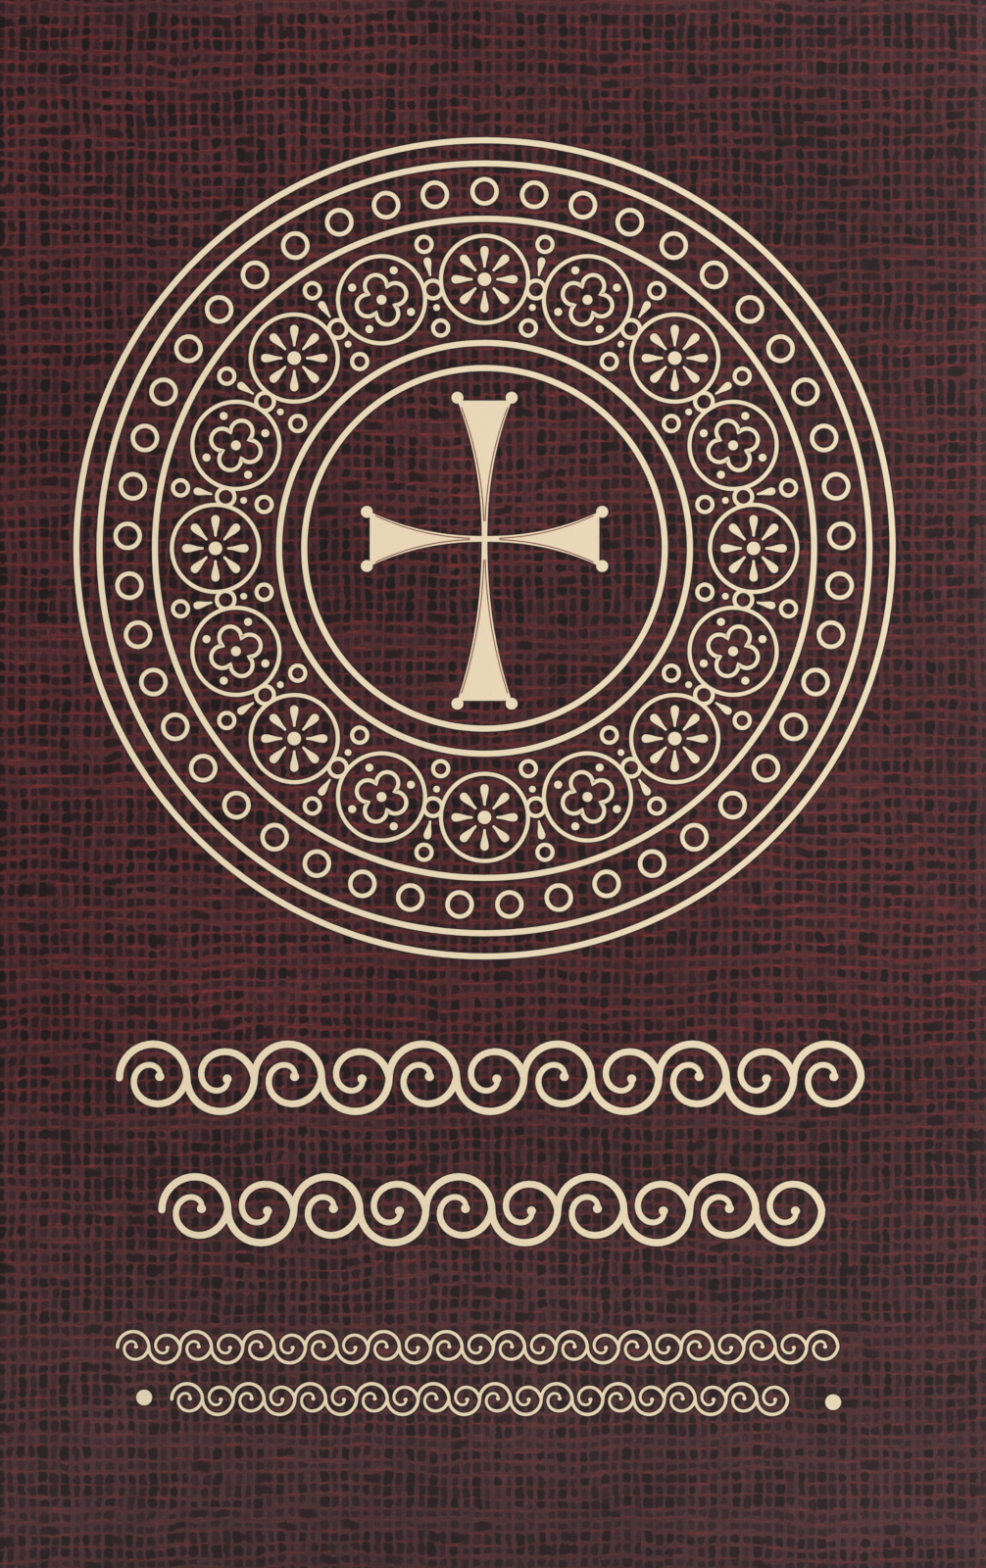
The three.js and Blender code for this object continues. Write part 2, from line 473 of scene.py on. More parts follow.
def cloth_print(sh):
    """The colour of a coarse open-weave cloth, as it is printed on the card, with a painted sheen towards
    the tail.
    """
    u, v = sh.surface_place()
    place = sh.vector(u, v)

    # The threads wander across the cover and waver a little on their way.
    narrow_u = sh.times(u, 0.6)
    drift_u = sway(sh, place, scale=0.06, reach=1.6)
    drift_v = sway(sh, sh.vector(narrow_u, v, 7.0), scale=0.07, reach=3.2, detail=3.0, roughness=0.6)
    ripple_u = sway(sh, sh.vector(u, v, 4.0), scale=0.5, reach=0.5)
    ripple_v = sway(sh, sh.vector(narrow_u, v, 3.0), scale=0.4, reach=0.9)
    across = sh.maths("DIVIDE", sh.add(sh.add(u, drift_u), ripple_u), WARP_PITCH)
    up = sh.maths("DIVIDE", sh.add(sh.add(v, drift_v), ripple_v), WEFT_PITCH)

    # The wefts are redder than the warps, and some more than others.
    weft_here = sh.ramp(sh.maths("ABSOLUTE", from_middle(sh, up)), 0.16, 0.46)
    warp_here = sh.ramp(sh.maths("ABSOLUTE", from_middle(sh, across)), 0.12, 0.42)
    weft_row = sh.maths("FLOOR", sh.add(up, 0.5))
    warp_column = sh.maths("FLOOR", sh.add(across, 0.5))
    warp_on_top = sh.maths("PINGPONG", sh.add(weft_row, warp_column), 1.0)
    redness = sh.times(weft_here, sh.ramp(warp_here, 0.0, 1.0, 1.0, 0.5, "LINEAR"))
    redness = sh.times(redness, sh.ramp(warp_on_top, 0.0, 1.0, 1.0, 0.65, "LINEAR"))
    redness = sh.times(redness, sh.ramp(sh.chance(weft_row, 31.0), 0.0, 1.0, 0.45, 1.1, "LINEAR"))
    threads = sh.mix(redness, WARP_INK, WEFT_INK)
    # Painted sheen: towards the tail the threads turn paler and greyer.
    threads = sh.mix(sh.ramp(v, TAIL, SHEEN_FROM_HEIGHT, THREAD_SHEEN_SHARE, 0.0, "LINEAR"), threads, SHEEN_THREAD_INK)

    # Fibres run along both, and the brightest are red.
    fibre_u = sh.noise(sh.vector(sh.times(u, 0.32), sh.times(v, 3.4), 5.0), 1.0, 3.0, 0.62)
    fibre_v = sh.noise(sh.vector(sh.times(u, 3.2), sh.times(v, 0.5)), 1.0, 3.0, 0.6)
    weft_streak = sh.times(sh.ramp(fibre_u, 0.52, 0.66), sh.ramp(weft_here, 0.2, 0.8, 0.1, 0.6, "LINEAR"))
    warp_streak = sh.times(sh.ramp(fibre_v, 0.56, 0.72), sh.ramp(warp_here, 0.2, 0.8, 0.0, 0.35, "LINEAR"))
    threads = sh.mix(sh.maths("MAXIMUM", weft_streak, warp_streak), threads, STREAK_INK)
    tone = sh.ramp(fibre_v, 0.3, 0.7, 0.84, 1.16, "LINEAR")
    tone = sh.times(tone, sh.ramp(fibre_u, 0.25, 0.6, 0.8, 1.06, "LINEAR"))
    threads = sh.toned(threads, tone)

    # The holes go in between, then a painted sheen over threads and holes at the tail, the grain and the
    # broad light and dark patches.
    cloth = sh.mix(sh.times(weave_holes(sh, across, up), HOLE_DARKNESS), threads, HOLE_INK)
    # Painted sheen: towards the tail threads and holes both turn paler and greyer.
    cloth = sh.mix(sh.ramp(v, TAIL, SHEEN_FROM_HEIGHT, VEIL_SHEEN_SHARE, 0.0, "LINEAR"), cloth, SHEEN_VEIL_INK)
    grain = sh.ramp(sh.noise(place, 4.6, 3.0, 0.8), 0.25, 0.75, 0.66, 1.34, "LINEAR")
    patch = sh.ramp(sh.noise(sh.vector(u, v, 9.0), 0.035, 2.0), 0.3, 0.7, 0.86, 1.12, "LINEAR")
    return sh.toned(cloth, sh.times(grain, patch))


def laminate_relief(sh):
    """The very slight unevenness of a film on card."""
    u, v = sh.surface_place()
    fine = sh.noise(sh.vector(u, v, 2.0), 2.6, 3.0, 0.6)
    broad = sh.noise(sh.vector(u, v, 4.0), 0.12, 1.0)
    sh.bump(sh.add(sh.times(fine, 0.25), broad), strength=0.25, distance=0.00004)


def printed_card():
    sh = Shader("printed_card")
    laminate_relief(sh)
    return sh.finish(cloth_print(sh), LAMINATE_ROUGHNESS, LAMINATE_SHINE)


def ink(name, colour, mottle):
    """One flat ink under the same film."""
    sh = Shader(name)
    u, v = sh.surface_place()
    cloud = sh.noise(sh.vector(u, v), 3.2, 3.0, 0.7)
    tone = sh.ramp(cloud, 0.25, 0.75, 1 - mottle, 1 + mottle, "LINEAR")
    laminate_relief(sh)
    return sh.finish(sh.toned(colour, tone), LAMINATE_ROUGHNESS, LAMINATE_SHINE)


def plain_card(name, colour):
    """The uncoated side and the cut edge of the card, with its fibres."""
    sh = Shader(name)
    place = sh.body_place()
    fibres = sh.noise(place, 900.0, 4.0, 0.7)
    cloud = sh.noise(place, 40.0, 2.0)
    tone = sh.ramp(fibres, 0.3, 0.7, 0.95, 1.03, "LINEAR")
    tone = sh.times(tone, sh.ramp(cloud, 0.3, 0.7, 0.97, 1.02, "LINEAR"))
    sh.bump(fibres, strength=0.3, distance=0.00003)
    return sh.finish(sh.toned(colour, tone), roughness=0.8, shine=0.3)


# ---- the paper and what is printed on it ----
PAGE_TONE = paint(239, 233, 218)
PAGE_EDGE_TONE = paint(230, 222, 204)
PAGE_INK = paint(62, 54, 50)
RUBRIC_INK = paint(128, 44, 40)
INK_STRENGTH = 0.72
ROW_BODY = (0.36, 0.6)  # the part of a row's height that has ink
SHORT_ROWS_FROM = 0.78  # the chance above which a row is short
RED_ROWS_FROM = 0.9  # the chance above which a row is red
PAGE_ROUGHNESS = 0.9
PAGE_EDGE_ROUGHNESS = 0.88
PAGE_SHINE = 0.25


def page_edge():
    """The trimmed edges of the leaves: each leaf a slightly different tone, with marks left by the knife."""
    sh = Shader("page_edge")
    place = sh.body_place()
    x, y, z = sh.parts(place)
    leaf = sh.maths("FLOOR", sh.maths("DIVIDE", y, LEAF * MM))
    leaf_tone = sh.ramp(sh.chance(leaf, 3.0), 0.0, 1.0, 0.8, 1.04, "LINEAR")
    knife = sh.noise(sh.vector(sh.times(x, 500.0), sh.times(y, 40.0), sh.times(z, 500.0)), 1.0, 3.0, 0.7)
    cloud = sh.noise(place, 30.0, 2.0)
    tone = sh.times(leaf_tone, sh.ramp(knife, 0.3, 0.7, 0.95, 1.03, "LINEAR"))
    tone = sh.times(tone, sh.ramp(cloud, 0.3, 0.7, 0.95, 1.03, "LINEAR"))
    sh.bump(knife, strength=0.3, distance=0.00003)
    return sh.finish(sh.toned(PAGE_EDGE_TONE, tone), PAGE_EDGE_ROUGHNESS, PAGE_SHINE)


def between(sh, value, low, high, soft):
    """1 from low to high, and 0 outside."""
    begun = sh.ramp(value, low - soft, low + soft)
    unfinished = sh.ramp(value, high - soft, high + soft, 1.0, 0.0)
    return sh.times(begun, unfinished)


def page_paper(sh):
    """The colour of uncoated paper."""
    u, v = sh.surface_place()
    fibres = sh.noise(sh.vector(u, v), 3.0, 4.0, 0.7)
    cloud = sh.noise(sh.vector(u, v), 0.06, 2.0)
    tone = sh.ramp(fibres, 0.3, 0.7, 0.97, 1.02, "LINEAR")
    tone = sh.times(tone, sh.ramp(cloud, 0.3, 0.7, 0.985, 1.01, "LINEAR"))
    sh.bump(fibres, strength=0.2, distance=0.00002)
    return sh.toned(PAGE_TONE, tone)


def blank_page():
    sh = Shader("blank_page")
    return sh.finish(page_paper(sh), PAGE_ROUGHNESS, PAGE_SHINE)


def printed_page():
    """Paper with rows of plain dashes where a page has its lines of text. A few rows are red."""
    sh = Shader("printed_page")
    u, v = sh.surface_place()
    up = sh.maths("MODULO", v, PAGE_HEIGHT)
    rows = sh.maths("DIVIDE", v, LINE_PITCH)
    row = sh.maths("FLOOR", rows)
    body = between(sh, sh.maths("FRACT", rows), *ROW_BODY, 0.04)
    words = sh.noise(sh.vector(sh.times(u, 0.42), sh.times(row, 3.7), 1.0), 1.0, 2.0, 0.6)
    dash = sh.ramp(words, 0.42, 0.44)
    short_row = sh.ramp(sh.chance(row, 2.0), SHORT_ROWS_FROM, SHORT_ROWS_FROM + 0.02)
    row_end = sh.ramp(short_row, 0.0, 1.0, FORE_EDGE - SPINE - 2 * MARGIN, SHORT_ROW, "LINEAR")
    in_row = sh.maths("LESS_THAN", sh.minus(u, MARGIN), row_end)
    in_row = sh.times(sh.ramp(u, MARGIN - 0.1, MARGIN + 0.1), in_row)
    inside = sh.times(between(sh, up, MARGIN_TAIL, PAGE_HEIGHT - MARGIN_HEAD, 0.1), in_row)
    dashes = sh.times(sh.times(body, dash), inside)
    red_row = sh.ramp(sh.chance(row, 8.0), RED_ROWS_FROM, RED_ROWS_FROM + 0.01)
    colour = sh.mix(sh.times(dashes, INK_STRENGTH), page_paper(sh), sh.mix(red_row, PAGE_INK, RUBRIC_INK))
    return sh.finish(colour, PAGE_ROUGHNESS, PAGE_SHINE)


GLUE_TONES = (paint(214, 203, 172), paint(232, 224, 198))
# The thread's colour in the grooves and on the ridges of its twist: painted shade.
THREAD_TONES_WITH_PAINTED_SHADE = (paint(205, 196, 172), paint(240, 234, 216))
TWIST = 9000.0  # how fast the thread's plies take turns, in radians to the metre
FLOOR_TONES = (paint(214, 212, 208), paint(222, 220, 216))


def dry_glue():
    sh = Shader("dry_glue")
    cloud = sh.noise(sh.body_place(), 260.0, 3.0, 0.6)
    colour = sh.mix(sh.ramp(cloud, 0.3, 0.7), *GLUE_TONES)
    sh.bump(cloud, strength=0.5, distance=0.0001)
    return sh.finish(colour, roughness=0.6, shine=0.35)


def linen_thread():
    """Waxed thread, with the slanting lines of its twist: bumps, with painted shade that makes the grooves
    darker and the ridges lighter.
    """
    sh = Shader("linen_thread")
    x, y, z = sh.parts(sh.body_place())
    slant = sh.add(sh.times(z, TWIST), sh.times(sh.add(x, y), TWIST))
    twist = sh.ramp(sh.maths("SINE", slant), -1.0, 1.0, 0.0, 1.0)
    sh.bump(twist, strength=0.8, distance=0.00008)
    # Painted shade: the colour follows the twist, darker in the grooves and lighter on the ridges.
    return sh.finish(sh.mix(twist, *THREAD_TONES_WITH_PAINTED_SHADE), roughness=0.7, shine=0.4)


def pale_floor():
    sh = Shader("pale_floor")
    cloud = sh.noise(sh.body_place(), 9.0, 2.0)
    return sh.finish(sh.mix(cloud, *FLOOR_TONES), roughness=0.75, shine=0.2)


PRINTED = printed_card()
CARD_EDGE = plain_card("card_edge", paint(222, 214, 200))
CARD_INSIDE = plain_card("card_inside", paint(236, 231, 219))
LINING_PAPER = plain_card("lining_paper", paint(216, 206, 184))
CREAM_INK = ink("cream_ink", paint(231, 215, 184), mottle=0.025)
DARK_INK = ink("dark_ink", paint(42, 20, 26), mottle=0.1)
RED_INK = ink("red_ink", paint(138, 58, 62), mottle=0.1)
PAGE_EDGE = page_edge()
PAGE = printed_page()
BLANK_PAGE = blank_page()
GLUE = dry_glue()
THREAD_FINISH = linen_thread()
COVER_MATERIALS = (PRINTED, CARD_EDGE, CARD_INSIDE)


# ==============================================================================
# The card cover: a front and a back piece, each bent round its edge of the spine, and the spine between
# ==============================================================================
HEIGHTS = spread(TAIL, HEAD, EDGE_STEP, EDGE_BAND, FACE_STEP)


def roll_off(x, z):
    """How far the printed face dips at a place near a trimmed edge."""
    near = min(FORE_EDGE - x, HEAD - z, z - TAIL)
    return EDGE_DROP * max(0.0, 1 - near / EDGE_BAND) ** 2


def cover_path(side):
    """The card's outer face from the seam on the spine to the fore-edge: place, outward direction and u."""
    corner_x, corner_y = SPINE + CORNER, side * (BACK - CORNER)
    path = []
    for i in range(SEAM_STEPS):
        before = (SEAM - CORNER) * (1 - i / SEAM_STEPS)
        path.append((SPINE, side * (BACK - CORNER - before), -1.0, 0.0, -CORNER_ARC - before))
    for i in range(CORNER_STEPS + 1):
        share = i / CORNER_STEPS
        out_x, out_y = -math.cos(math.pi / 2 * share), side * math.sin(math.pi / 2 * share)
        x, y = corner_x + CORNER * out_x, corner_y + CORNER * out_y
        path.append((x, y, out_x, out_y, CORNER_ARC * (share - 1)))
    for x in spread(corner_x, FORE_EDGE, EDGE_STEP, EDGE_BAND, FACE_STEP)[1:]:
        path.append((x, side * BACK, 0.0, float(side), x - corner_x))
    return path


def developed(side, along):
    """The print's u for a distance past the bend: it runs on without a break round the whole cover."""
    front_bend = SPINE + CORNER
    back_bend = front_bend - 2 * CORNER_ARC - (BACK - FRONT - 2 * CORNER)
    return front_bend + along if side < 0 else back_bend - along


def cover_piece(side, name):
    mesh = Mesh()
    outer, inner = [], []
    for x, y, out_x, out_y, along in cover_path(side):
        u = developed(side, along)
        outer.append([])
        inner.append([])
        for z in HEIGHTS:
            dip = RECESS + roll_off(x, z)
            outer[-1].append(mesh.point(x - dip * out_x, y - dip * out_y, z, u, z))
            inner[-1].append(mesh.point(x - CARD * out_x, y - CARD * out_y, z, u, z))
    close_card(mesh, outer, inner, side < 0)
    return mesh.made(name, COVER_MATERIALS)


def close_card(mesh, outer, inner, flip):
    """Faces of a sheet of card between the point numbers of its two sides."""
    mesh.grid(outer, 0, flip)
    mesh.grid(inner, 2, not flip)
    for rows in ((outer[0], inner[0]), (inner[-1], outer[-1])):
        mesh.grid(rows, 1, not flip)
    for end, turned in ((0, flip), (-1, not flip)):
        mesh.grid([[column[end] for column in outer], [column[end] for column in inner]], 1, turned)


def spine_card():
    mesh = Mesh()
    outer, inner = [], []
    bend_steps = 8
    fine, band, coarse = 1.0, 2.0, 3.0
    places = spread(FRONT + SEAM, -MIDDLE_BEND, fine, band, coarse)[:-1]
    places += [MIDDLE_BEND * i / bend_steps for i in range(-bend_steps, bend_steps + 1)]
    places += spread(MIDDLE_BEND, BACK - SEAM, fine, band, coarse)[1:]
    for y in places:
        u = SPINE + CORNER - CORNER_ARC - (y - FRONT - CORNER)
        outer.append([])
        inner.append([])
        for z in HEIGHTS:
            dip = RECESS + roll_off(SPINE, z)
            outer[-1].append(mesh.point(SPINE + dip, y, z, u, z))
            inner[-1].append(mesh.point(SPINE + CARD, y, z, u, z))
    close_card(mesh, outer, inner, False)
    return mesh.made("spine_card", COVER_MATERIALS)


def metres(x, y, z=0.0):
    return x * MM, y * MM, z * MM


def bend_with_spine(piece):
    """Bakes the piece's place into its mesh."""
    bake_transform(piece)


def make_cover():
    for side, name, spine_body in ((-1, "front_cover", "spine_front"), (1, "back_cover", "spine_back")):
        piece = cover_piece(side, f"{name}_card")
        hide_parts(f"{name}_panel")
        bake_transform(piece)
    spine = spine_card()
    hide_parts("spine_cover_front_half", "spine_cover_back_half")
    bend_with_spine(spine)


# ==============================================================================
# The block: lining, glue, folded sections and their threads
# ==============================================================================
def section_middle(index):
    low, high = box_mm(f"section_{index + 1:02d}")
    return (low.y + high.y) / 2


SECTION_MIDDLES = [section_middle(index) for index in range(SECTIONS)]


def strip(name, places, near, far, material):
    """A layer on the spine: near(y) and far(y) are the X of its two faces."""
    mesh = Mesh()
    back = [[mesh.point(near(y), y, z, y, z) for z in HEIGHTS] for y in places]
    front = [[mesh.point(far(y), y, z, y, z) for z in HEIGHTS] for y in places]
    mesh.grid(back, 0, False)
    mesh.grid(front, 0, True)
    mesh.grid((back[0], front[0]), 0, True)
    mesh.grid((front[-1], back[-1]), 0, True)
    for end, turned in ((0, False), (-1, True)):
        mesh.grid([[column[end] for column in back], [column[end] for column in front]], 0, turned)
    return mesh.made(name, (material,), smooth_below=50)


def make_lining():
    low, high = LINING_LOW.y, -LINING_LOW.y
    places = [low + (high - low) * i / LINING_STEPS for i in range(LINING_STEPS + 1)]
    lining = strip("spine_lining", places, lambda y: LINING_LOW.x, lambda y: LINING_HIGH.x, LINING_PAPER)
    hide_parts("spine_lining_front_half", "spine_lining_back_half")
    bend_with_spine(lining)


def make_glue():
    """The glue fills the space behind the folds and part of the notch between each two."""

    def behind_folds(y):
        nearest = min(abs(y - middle) for middle in SECTION_MIDDLES)
        depth = math.sqrt(max(0.0, (NOSE + GLUE_FIT) ** 2 - nearest**2))
        return min(NOSE_X - depth, GLUE_HIGH.x)

    low, high = GLUE_LOW.y, -GLUE_LOW.y
    places = [low + (high - low) * i / GLUE_STEPS for i in range(GLUE_STEPS + 1)]
    glue = strip("spine_glue", places, lambda y: GLUE_LOW.x, behind_folds, GLUE)
    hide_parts("spine_glue_front_half", "spine_glue_back_half")
    bend_with_spine(glue)


def sheet_height(sheet, distance):
    """Half the height of the stack under sheet number `sheet`, at a distance from the fold."""
    at_fold = NOSE - sheet * (NOSE - HOLLOW) / SHEETS
    flat = NOSE - sheet * LEAF
    return at_fold + (flat - at_fold) * smoothstep(distance / CLOSING)


def fold_profile(sheet, shrink, reach):
    """One face of a folded sheet, as distances from the fold and heights.

    It runs from the back leaf's fore-edge round the fold to the front leaf's."""
    places = [(reach, sheet_height(sheet, reach) - shrink)]
    places += [(d, sheet_height(sheet, d) - shrink) for d in reversed(FLATS)]
    radius = sheet_height(sheet, 0) - shrink
    for i in range(FOLD_STEPS + 1):
        turn = math.pi / 2 + math.pi * i / FOLD_STEPS
        places.append((radius * math.cos(turn), radius * math.sin(turn)))
    places += [(d, shrink - sheet_height(sheet, d)) for d in FLATS]
    places.append((reach, shrink - sheet_height(sheet, reach)))
    return places


def page_print(distance, z, page, faces_back):
    """Where a point lies on its page's print: across from the left edge, and up from the tail of page 0.

    Seen by the reader, the fold is on the left of a page that faces the front and on the right of one that
    faces the back."""
    distance = max(distance, 0.0)
    across = PAGE_WIDTH - distance if faces_back else distance
    return across, z + PAGE_HEIGHT * (2 * page + faces_back)


def add_sheet(mesh, sheet, section, chance):
    """One folded sheet. The first page and the last page of the book have no print."""
    gap = chance.uniform(LEAST_GAP, MOST_GAP)
    reach = FORE_EDGE - NOSE_X - TRIM * chance.random()
    low = TAIL + TRIM / 2 * chance.random()
    high = HEAD - TRIM * chance.random()
    outer = fold_profile(sheet, gap if sheet else 0.0, reach)
    inner = fold_profile(sheet + 1, -gap, reach)
    sides = []
    for profile, outward in ((outer, True), (inner, False)):
        sides.append([])
        for i, (distance, height) in enumerate(profile):
            on_back_leaf = i < len(profile) / 2
            column = []
            for z in (low, high):
                print_at = page_print(distance, z, section, on_back_leaf == outward)
                column.append(mesh.point(NOSE_X + distance, SECTION_MIDDLES[section] + height, z, *print_at))
            sides[-1].append(column)
    middle = len(outer) // 2
    last_page_blank = sheet == 0 and section == SECTIONS - 1
    first_page_blank = sheet == 0 and section == 0
    mesh.grid(sides[0][:middle + 1], 2 if last_page_blank else 0, False)
    mesh.grid(sides[0][middle:], 2 if first_page_blank else 0, False)
    mesh.grid(sides[1], 0, True)
    mesh.grid((sides[0][0], sides[1][0]), 1, True)
    mesh.grid((sides[1][-1], sides[0][-1]), 1, True)
    for end, turned in ((0, False), (-1, True)):
        mesh.grid([[column[end] for column in sides[0]], [column[end] for column in sides[1]]], 1, turned)


def make_sections():
    chance = random.Random(TRIM_SEED)
    for section in range(SECTIONS):
        mesh = Mesh()
        for sheet in range(SHEETS):
            add_sheet(mesh, sheet, section, chance)
        piece = mesh.made(f"folded_sheets_{section + 1:02d}", (PAGE, PAGE_EDGE, BLANK_PAGE), smooth_below=50)
        node = f"section_{section + 1:02d}"
        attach(piece, frame["nodes"][node]["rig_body"])
        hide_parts(node)


def finish_threads():
    for name, node in frame["nodes"].items():
        if name.startswith("sewing_thread"):
            node.data.materials.clear()
            node.data.materials.append(THREAD_FINISH)


# ==============================================================================
# The print on the front cover. Shapes are drawn in two directions, across and up, in millimetres.
# ==============================================================================
class Print:
    """One layer of the print: thin plates on the card's face, each a closed body."""

    def __init__(self):
        self.mesh = Mesh()

    def stands(self, place, level):
        x, z = place
        face = FRONT + RECESS + roll_off(x, z)
        return self.mesh.point(x, face - level, z, x, z)

    def plate(self, rows, level, closed=False):
        """A plate over rows of places. A closed one's last row meets its first."""
        top = [[self.stands(place, level) for place in row] for row in rows]
        bottom = [[self.stands(place, -ROOTED) for place in row] for row in rows]
        if closed:
            top.append(top[0])
            bottom.append(bottom[0])
        self.mesh.grid(top, 0, False)
        self.mesh.grid(bottom, 0, True)
        self.mesh.grid([[row[0] for row in top], [row[0] for row in bottom]], 0, True)
        self.mesh.grid([[row[-1] for row in top], [row[-1] for row in bottom]], 0, False)
        if not closed:
            self.mesh.grid((top[0], bottom[0]), 0, False)
            self.mesh.grid((top[-1], bottom[-1]), 0, True)

    def made(self, name, material):
        piece = self.mesh.made(name, (material,))
        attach(piece, "front_cover")


CREAM = Print()
UNDER = Print()
RED = Print()


def directions(path, closed):
    """The direction of travel at each place of a path."""
    found = []
    for i in range(len(path)):
        before = path[i - 1] if closed or i else path[i]
        after = path[(i + 1) % len(path)] if closed or i < len(path) - 1 else path[i]
        dx, dz = after[0] - before[0], after[1] - before[1]
        length = math.hypot(dx, dz) or 1.0
        found.append((dx / length, dz / length))
    return found


def stroke_rows(path, widths, closed, grow):
    """Pairs of places on the two sides of a path, with round ends on an open one."""
    rows = []
    ways = directions(path, closed)
    for (x, z), (dx, dz), width in zip(path, ways, widths):
        half = width / 2 + grow
        rows.append([(x - dz * half, z + dx * half), (x + dz * half, z - dx * half)])
    if closed:
        return rows

    def cap(place, way, width):
        """Rows of a half circle beyond the end, which stop just short of its tip."""
        half = width / 2 + grow
        steps = 5
        made = []
        for i in range(1, steps + 1):
            turn = math.pi / 2 * i / (steps + 0.2)
            x, z = place[0] + way[0] * half * math.sin(turn), place[1] + way[1] * half * math.sin(turn)
            side = half * math.cos(turn)
            made.append([(x - way[1] * side, z + way[0] * side), (x + way[1] * side, z - way[0] * side)])
        return made

    start = cap(path[0], (-ways[0][0], -ways[0][1]), widths[0])
    start = [[right, left] for left, right in reversed(start)]
    return start + rows + cap(path[-1], ways[-1], widths[-1])


def stroke(path, width, level, closed=False, layer=None):
    """A drawn line with its dark outline. width is one number, or one for each place of the path."""
    widths = width if isinstance(width, list) else [width] * len(path)
    (layer or CREAM).plate(stroke_rows(path, widths, closed, 0.0), level, closed)
    if layer is None:
        UNDER.plate(stroke_rows(path, widths, closed, OUTLINE), LEVEL_OUTLINE + level / 10, closed)


def polar(angle, radius):
    """A place at an angle in degrees, anticlockwise from the right."""
    turn = math.radians(angle)
    return radius * math.cos(turn), radius * math.sin(turn)


def arc(centre, radius, start, turn, steps):
    """Places along an arc. turn is in degrees, and negative for clockwise."""
    places = []
    for i in range(steps + 1):
        x, z = polar(start + turn * i / steps, radius)
        places.append((centre[0] + x, centre[1] + z))
    return places


def ring(centre, radius, width, level, steps):
    stroke(arc(centre, radius, 0, 360, steps)[:-1], width, level, closed=True)


def dot(centre, radius, level):
    """A filled round spot, drawn as one very short stroke with round ends."""
    x, z = centre
    tiny = 0.01
    stroke([(x - tiny, z), (x + tiny, z)], 2 * radius, level)


class Place:
    """A small drawing's own directions: turned clockwise by an angle, and mirrored if flip is -1."""

    def __init__(self, centre, clockwise=0.0, flip=1):
        self.centre = centre
        self.cos = math.cos(math.radians(clockwise))
        self.sin = math.sin(math.radians(clockwise))
        self.flip = flip

    def at(self, place):
        x, z = place[0], place[1] * self.flip
        return self.centre[0] + x * self.cos + z * self.sin, self.centre[1] - x * self.sin + z * self.cos

    def path(self, places):
        return [self.at(place) for place in places]


def draw_rings():
    for radius in RINGS:
        ring(MEDALLION, radius, RING_STROKE, LEVEL_RINGS, RING_STEPS)
    circle = Place(MEDALLION)
    for i in range(BEADS):
        place = circle.at(polar(90 + 360 * i / BEADS, BEAD_CIRCLE))
        ring(place, BEAD_RADIUS, BEAD_STROKE, LEVEL_RINGS, SMALL_STEPS)


def drop(place, angle, near, far, width, level):
    """A petal: a short straight stroke that swells away from the middle of its drawing."""
    steps = 8
    narrow = 0.3  # share of its width that it starts with
    path = [polar(angle, near + (far - near) * i / steps) for i in range(steps + 1)]
    widths = [width * (narrow + (1 - narrow) * smoothstep(i / steps)) for i in range(steps + 1)]
    stroke(place.path(path), widths, level)


def daisy(place):
    """Eight petals round a dot."""
    petals = 8
    eye = 0.85
    near, far = 1.65, 3.7
    width = 1.05
    dot(place.at((0, 0)), eye, LEVEL_DOTS)
    for i in range(petals):
        drop(place, 360 / petals * i, near, far, width, LEVEL_THIN)


def quatrefoil(place):
    """Four round lobes in one line, with a dot in the middle and one between each two lobes."""
    lobe = 1.4  # radius of a lobe
    out = 1.9  # from the middle of the drawing to the middle of a lobe
    reach = 135 - math.degrees(math.acos(out / math.sqrt(2) / lobe))  # half the turn of a lobe
    steps = 22
    eye = 0.62
    corner_dot, corner_out = 0.5, 4.05
    line = []
    for i in range(4):
        line += arc(polar(90 * i, out), lobe, 90 * i - reach, 2 * reach, steps)[:-1]
    stroke(place.path(line), THIN, LEVEL_THIN, closed=True)
    dot(place.at((0, 0)), eye, LEVEL_DOTS)
    for i in range(4):
        dot(place.at(polar(45 + 90 * i, corner_out)), corner_dot, LEVEL_DOTS)


def draw_link(link):
    """A ringlet between two roundels, with a petal outside it and a dot inside it."""
    petal_gap, petal_length, petal_width = 0.75, 1.8, 0.95
    speck, speck_gap = 0.42, 1.2
    near = LINK_RADIUS + petal_gap
    ring(link.centre, LINK_RADIUS, THIN, LEVEL_THIN + 2 * LEVEL_STEP, SMALL_STEPS)
    drop(link, 90, near, near + petal_length, petal_width, LEVEL_THIN)
    dot(link.at((0, -LINK_RADIUS - speck_gap)), speck, LEVEL_DOTS)


def draw_roundels():
    """A chain of linked roundels. Outside and inside each link there is one more ringlet."""
    circle = Place(MEDALLION)
    for i in range(ROUNDELS):
        clockwise = 360 * i / ROUNDELS
        roundel = Place(circle.at(polar(90 - clockwise, ROUNDEL_CIRCLE)), clockwise)
        ring(roundel.centre, ROUNDEL_RADIUS, THIN, LEVEL_THIN, ROUNDEL_STEPS)
        if i % 2:
            quatrefoil(roundel)
        else:
            daisy(roundel)
        halfway = clockwise + 180 / ROUNDELS
        draw_link(Place(circle.at(polar(90 - halfway, LINK_CIRCLE)), halfway))
        for filler in (OUTER_FILLER, INNER_FILLER):
            place = circle.at(polar(90 - halfway, filler))
            ring(place, RINGLET_RADIUS, THIN, LEVEL_THIN, SMALL_STEPS)


def arm_row(share, length, grow):
    """Places across an arm, at a share of its length: 0 where the arms cross, and 1 at its end."""
    half = ARM_WAIST + ARM_FLARE * share**ARM_CURVE + grow
    across = 6
    return [(half * j / across, (length + grow) * share) for j in range(-across, across + 1)]


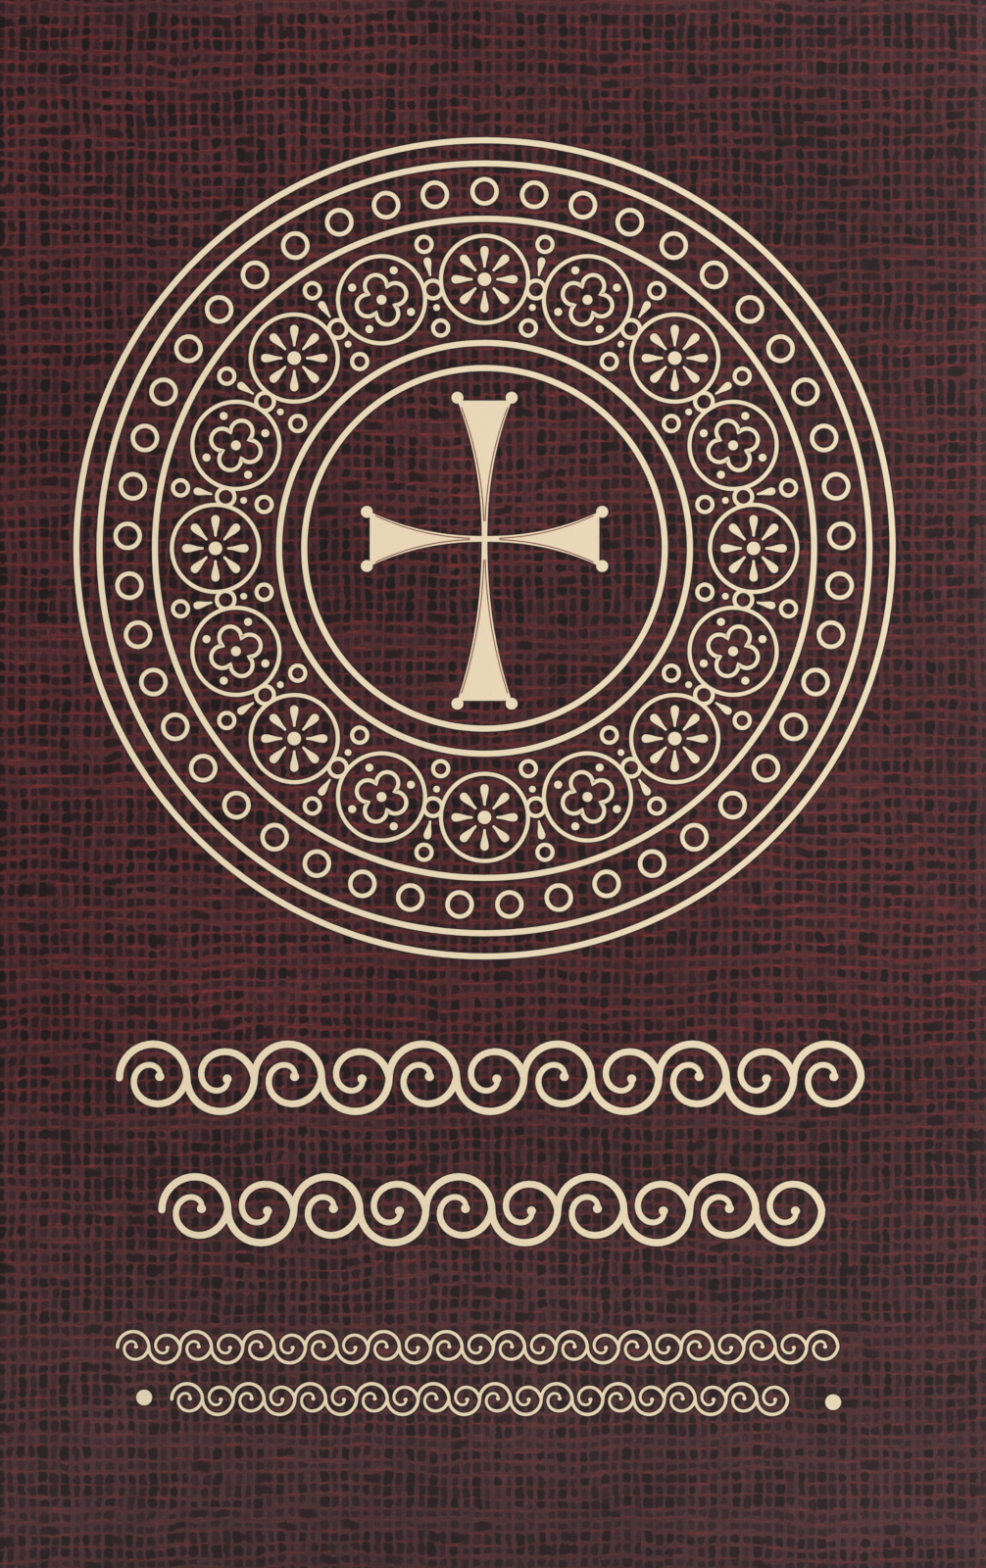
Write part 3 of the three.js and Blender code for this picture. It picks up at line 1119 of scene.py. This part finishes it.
def draw_arm(place, length, level):
    """One arm of a plain flared cross, with a thin red line inside each edge and a dot at each corner."""
    shares = [i / ARM_STEPS for i in range(ARM_STEPS + 1)]
    first = 4  # step from which the arm is wide enough for the red lines
    CREAM.plate([place.path(arm_row(share, length, 0.0)) for share in shares], level)
    UNDER.plate([place.path(arm_row(share, length, OUTLINE)) for share in shares], LEVEL_OUTLINE)
    for side in (0, -1):
        line = [arm_row(share, length, -RED_INSET)[side] for share in shares[first:-1]]
        stroke(place.path(line), RED_STROKE, LEVEL_RED, layer=RED)
        x, z = arm_row(1.0, length, 0.0)[side]
        dot(place.at((x, z + ARM_CORNER / 2)), ARM_CORNER, LEVEL_CROSS + 2 * LEVEL_STEP)


def draw_cross():
    centre = (MEDALLION[0], MEDALLION[1] + CROSS_RISE)
    for clockwise, length in ((0, ARM_UP), (90, ARM_ASIDE), (180, ARM_DOWN), (270, ARM_ASIDE)):
        level = LEVEL_CROSS + (LEVEL_STEP if clockwise % 180 else 0.0)
        draw_arm(Place(centre, clockwise), length, level)


# ---- bands of plain ornament, where a title would be ----
def running_scroll(left, right, middle, hollows, weight):
    """A stem that swings over and under by turns. A branch winds into each hollow and ends in a bud."""
    over_steps = 20
    steps = 30
    turn = -350
    tightening = 0.9  # less than 1 winds in faster at first
    thinning = 0.3
    bud = 0.62  # radius of the bud, in widths of the stem
    radius = (right - left - weight) / hollows / 2
    last_radius = weight * 0.95
    for i in range(hollows):
        eye = (left + weight / 2 + radius * (2 * i + 1), middle)
        hollow = Place(eye, 0.0, 1 if i % 2 == 0 else -1)
        over = arc((0, 0), radius, 180, -180, over_steps)
        wound = []
        for j in range(1, steps + 1):
            share = j / steps
            wound.append(polar(turn * share, radius - (radius - last_radius) * share**tightening))
        thinner = [weight * (1 - thinning * j / (steps - 1)) for j in range(steps)]
        widths = [weight] * len(over) + thinner
        stroke(hollow.path(over + wound), widths, LEVEL_THIN + LEVEL_STEP / 2 * (i % 2))
        dot(hollow.at(wound[-1]), weight * bud, LEVEL_DOTS)


def draw_bands():
    for band in BANDS:
        running_scroll(*band)
    for place in BAND_DOTS:
        dot(place, BAND_DOT_RADIUS, LEVEL_DOTS)


def make_print():
    draw_rings()
    draw_roundels()
    draw_cross()
    draw_bands()
    UNDER.made("cover_print_outline", DARK_INK)
    CREAM.made("cover_print_cream", CREAM_INK)
    RED.made("cover_print_red", RED_INK)


# ==============================================================================
# Floor, light and camera
# ==============================================================================
def make_floor():
    bpy.ops.mesh.primitive_plane_add(size=FLOOR_SIZE, location=metres(0, 0, -FLOOR_DROP))
    floor = bpy.context.object
    floor.name = "floor"
    floor.data.materials.append(pale_floor())


def aim(name, data, way):
    """Adds a light that shines along a direction."""
    light = bpy.data.objects.new(name, data)
    light.rotation_euler = way.to_track_quat("-Z", "Y").to_euler()
    bpy.context.scene.collection.objects.link(light)
    return light


def make_light():
    world = bpy.context.scene.world or bpy.data.worlds.new("world")
    bpy.context.scene.world = world
    world.use_nodes = True
    background = world.node_tree.nodes["Background"]
    background.inputs["Color"].default_value = WORLD_COLOUR
    background.inputs["Strength"].default_value = WORLD_STRENGTH
    sky = bpy.data.lights.new("sky", "SUN")
    sky.energy = SKY_ENERGY
    sky.angle = math.radians(SKY_ANGLE)
    aim("sky", sky, Vector(SKY_WAY))
    for name, place, size, power, spread_angle in AREA_LIGHTS:
        data = bpy.data.lights.new(name, "AREA")
        data.shape = "RECTANGLE"
        data.size, data.size_y = size
        data.energy = power
        data.spread = math.radians(spread_angle)
        aim(name, data, Vector(LIGHTS_AIM) - Vector(place)).location = place


def make_camera():
    data = bpy.data.cameras.new("camera")
    data.lens = LENS
    data.sensor_width = SENSOR
    height = HEAD - TAIL
    distance = height * LENS / SENSOR * CAMERA_NEARER
    camera = bpy.data.objects.new("camera", data)
    camera.location = metres(CAMERA_ASIDE, FRONT - distance, TAIL + height / 2)
    camera.rotation_euler = (math.pi / 2, 0, 0)
    bpy.context.scene.collection.objects.link(camera)
    bpy.context.scene.camera = camera
    bpy.context.scene.view_settings.view_transform = "Standard"


make_camera()
make_cover()
make_lining()
make_glue()
make_sections()
finish_threads()
make_print()
make_floor()
make_light()
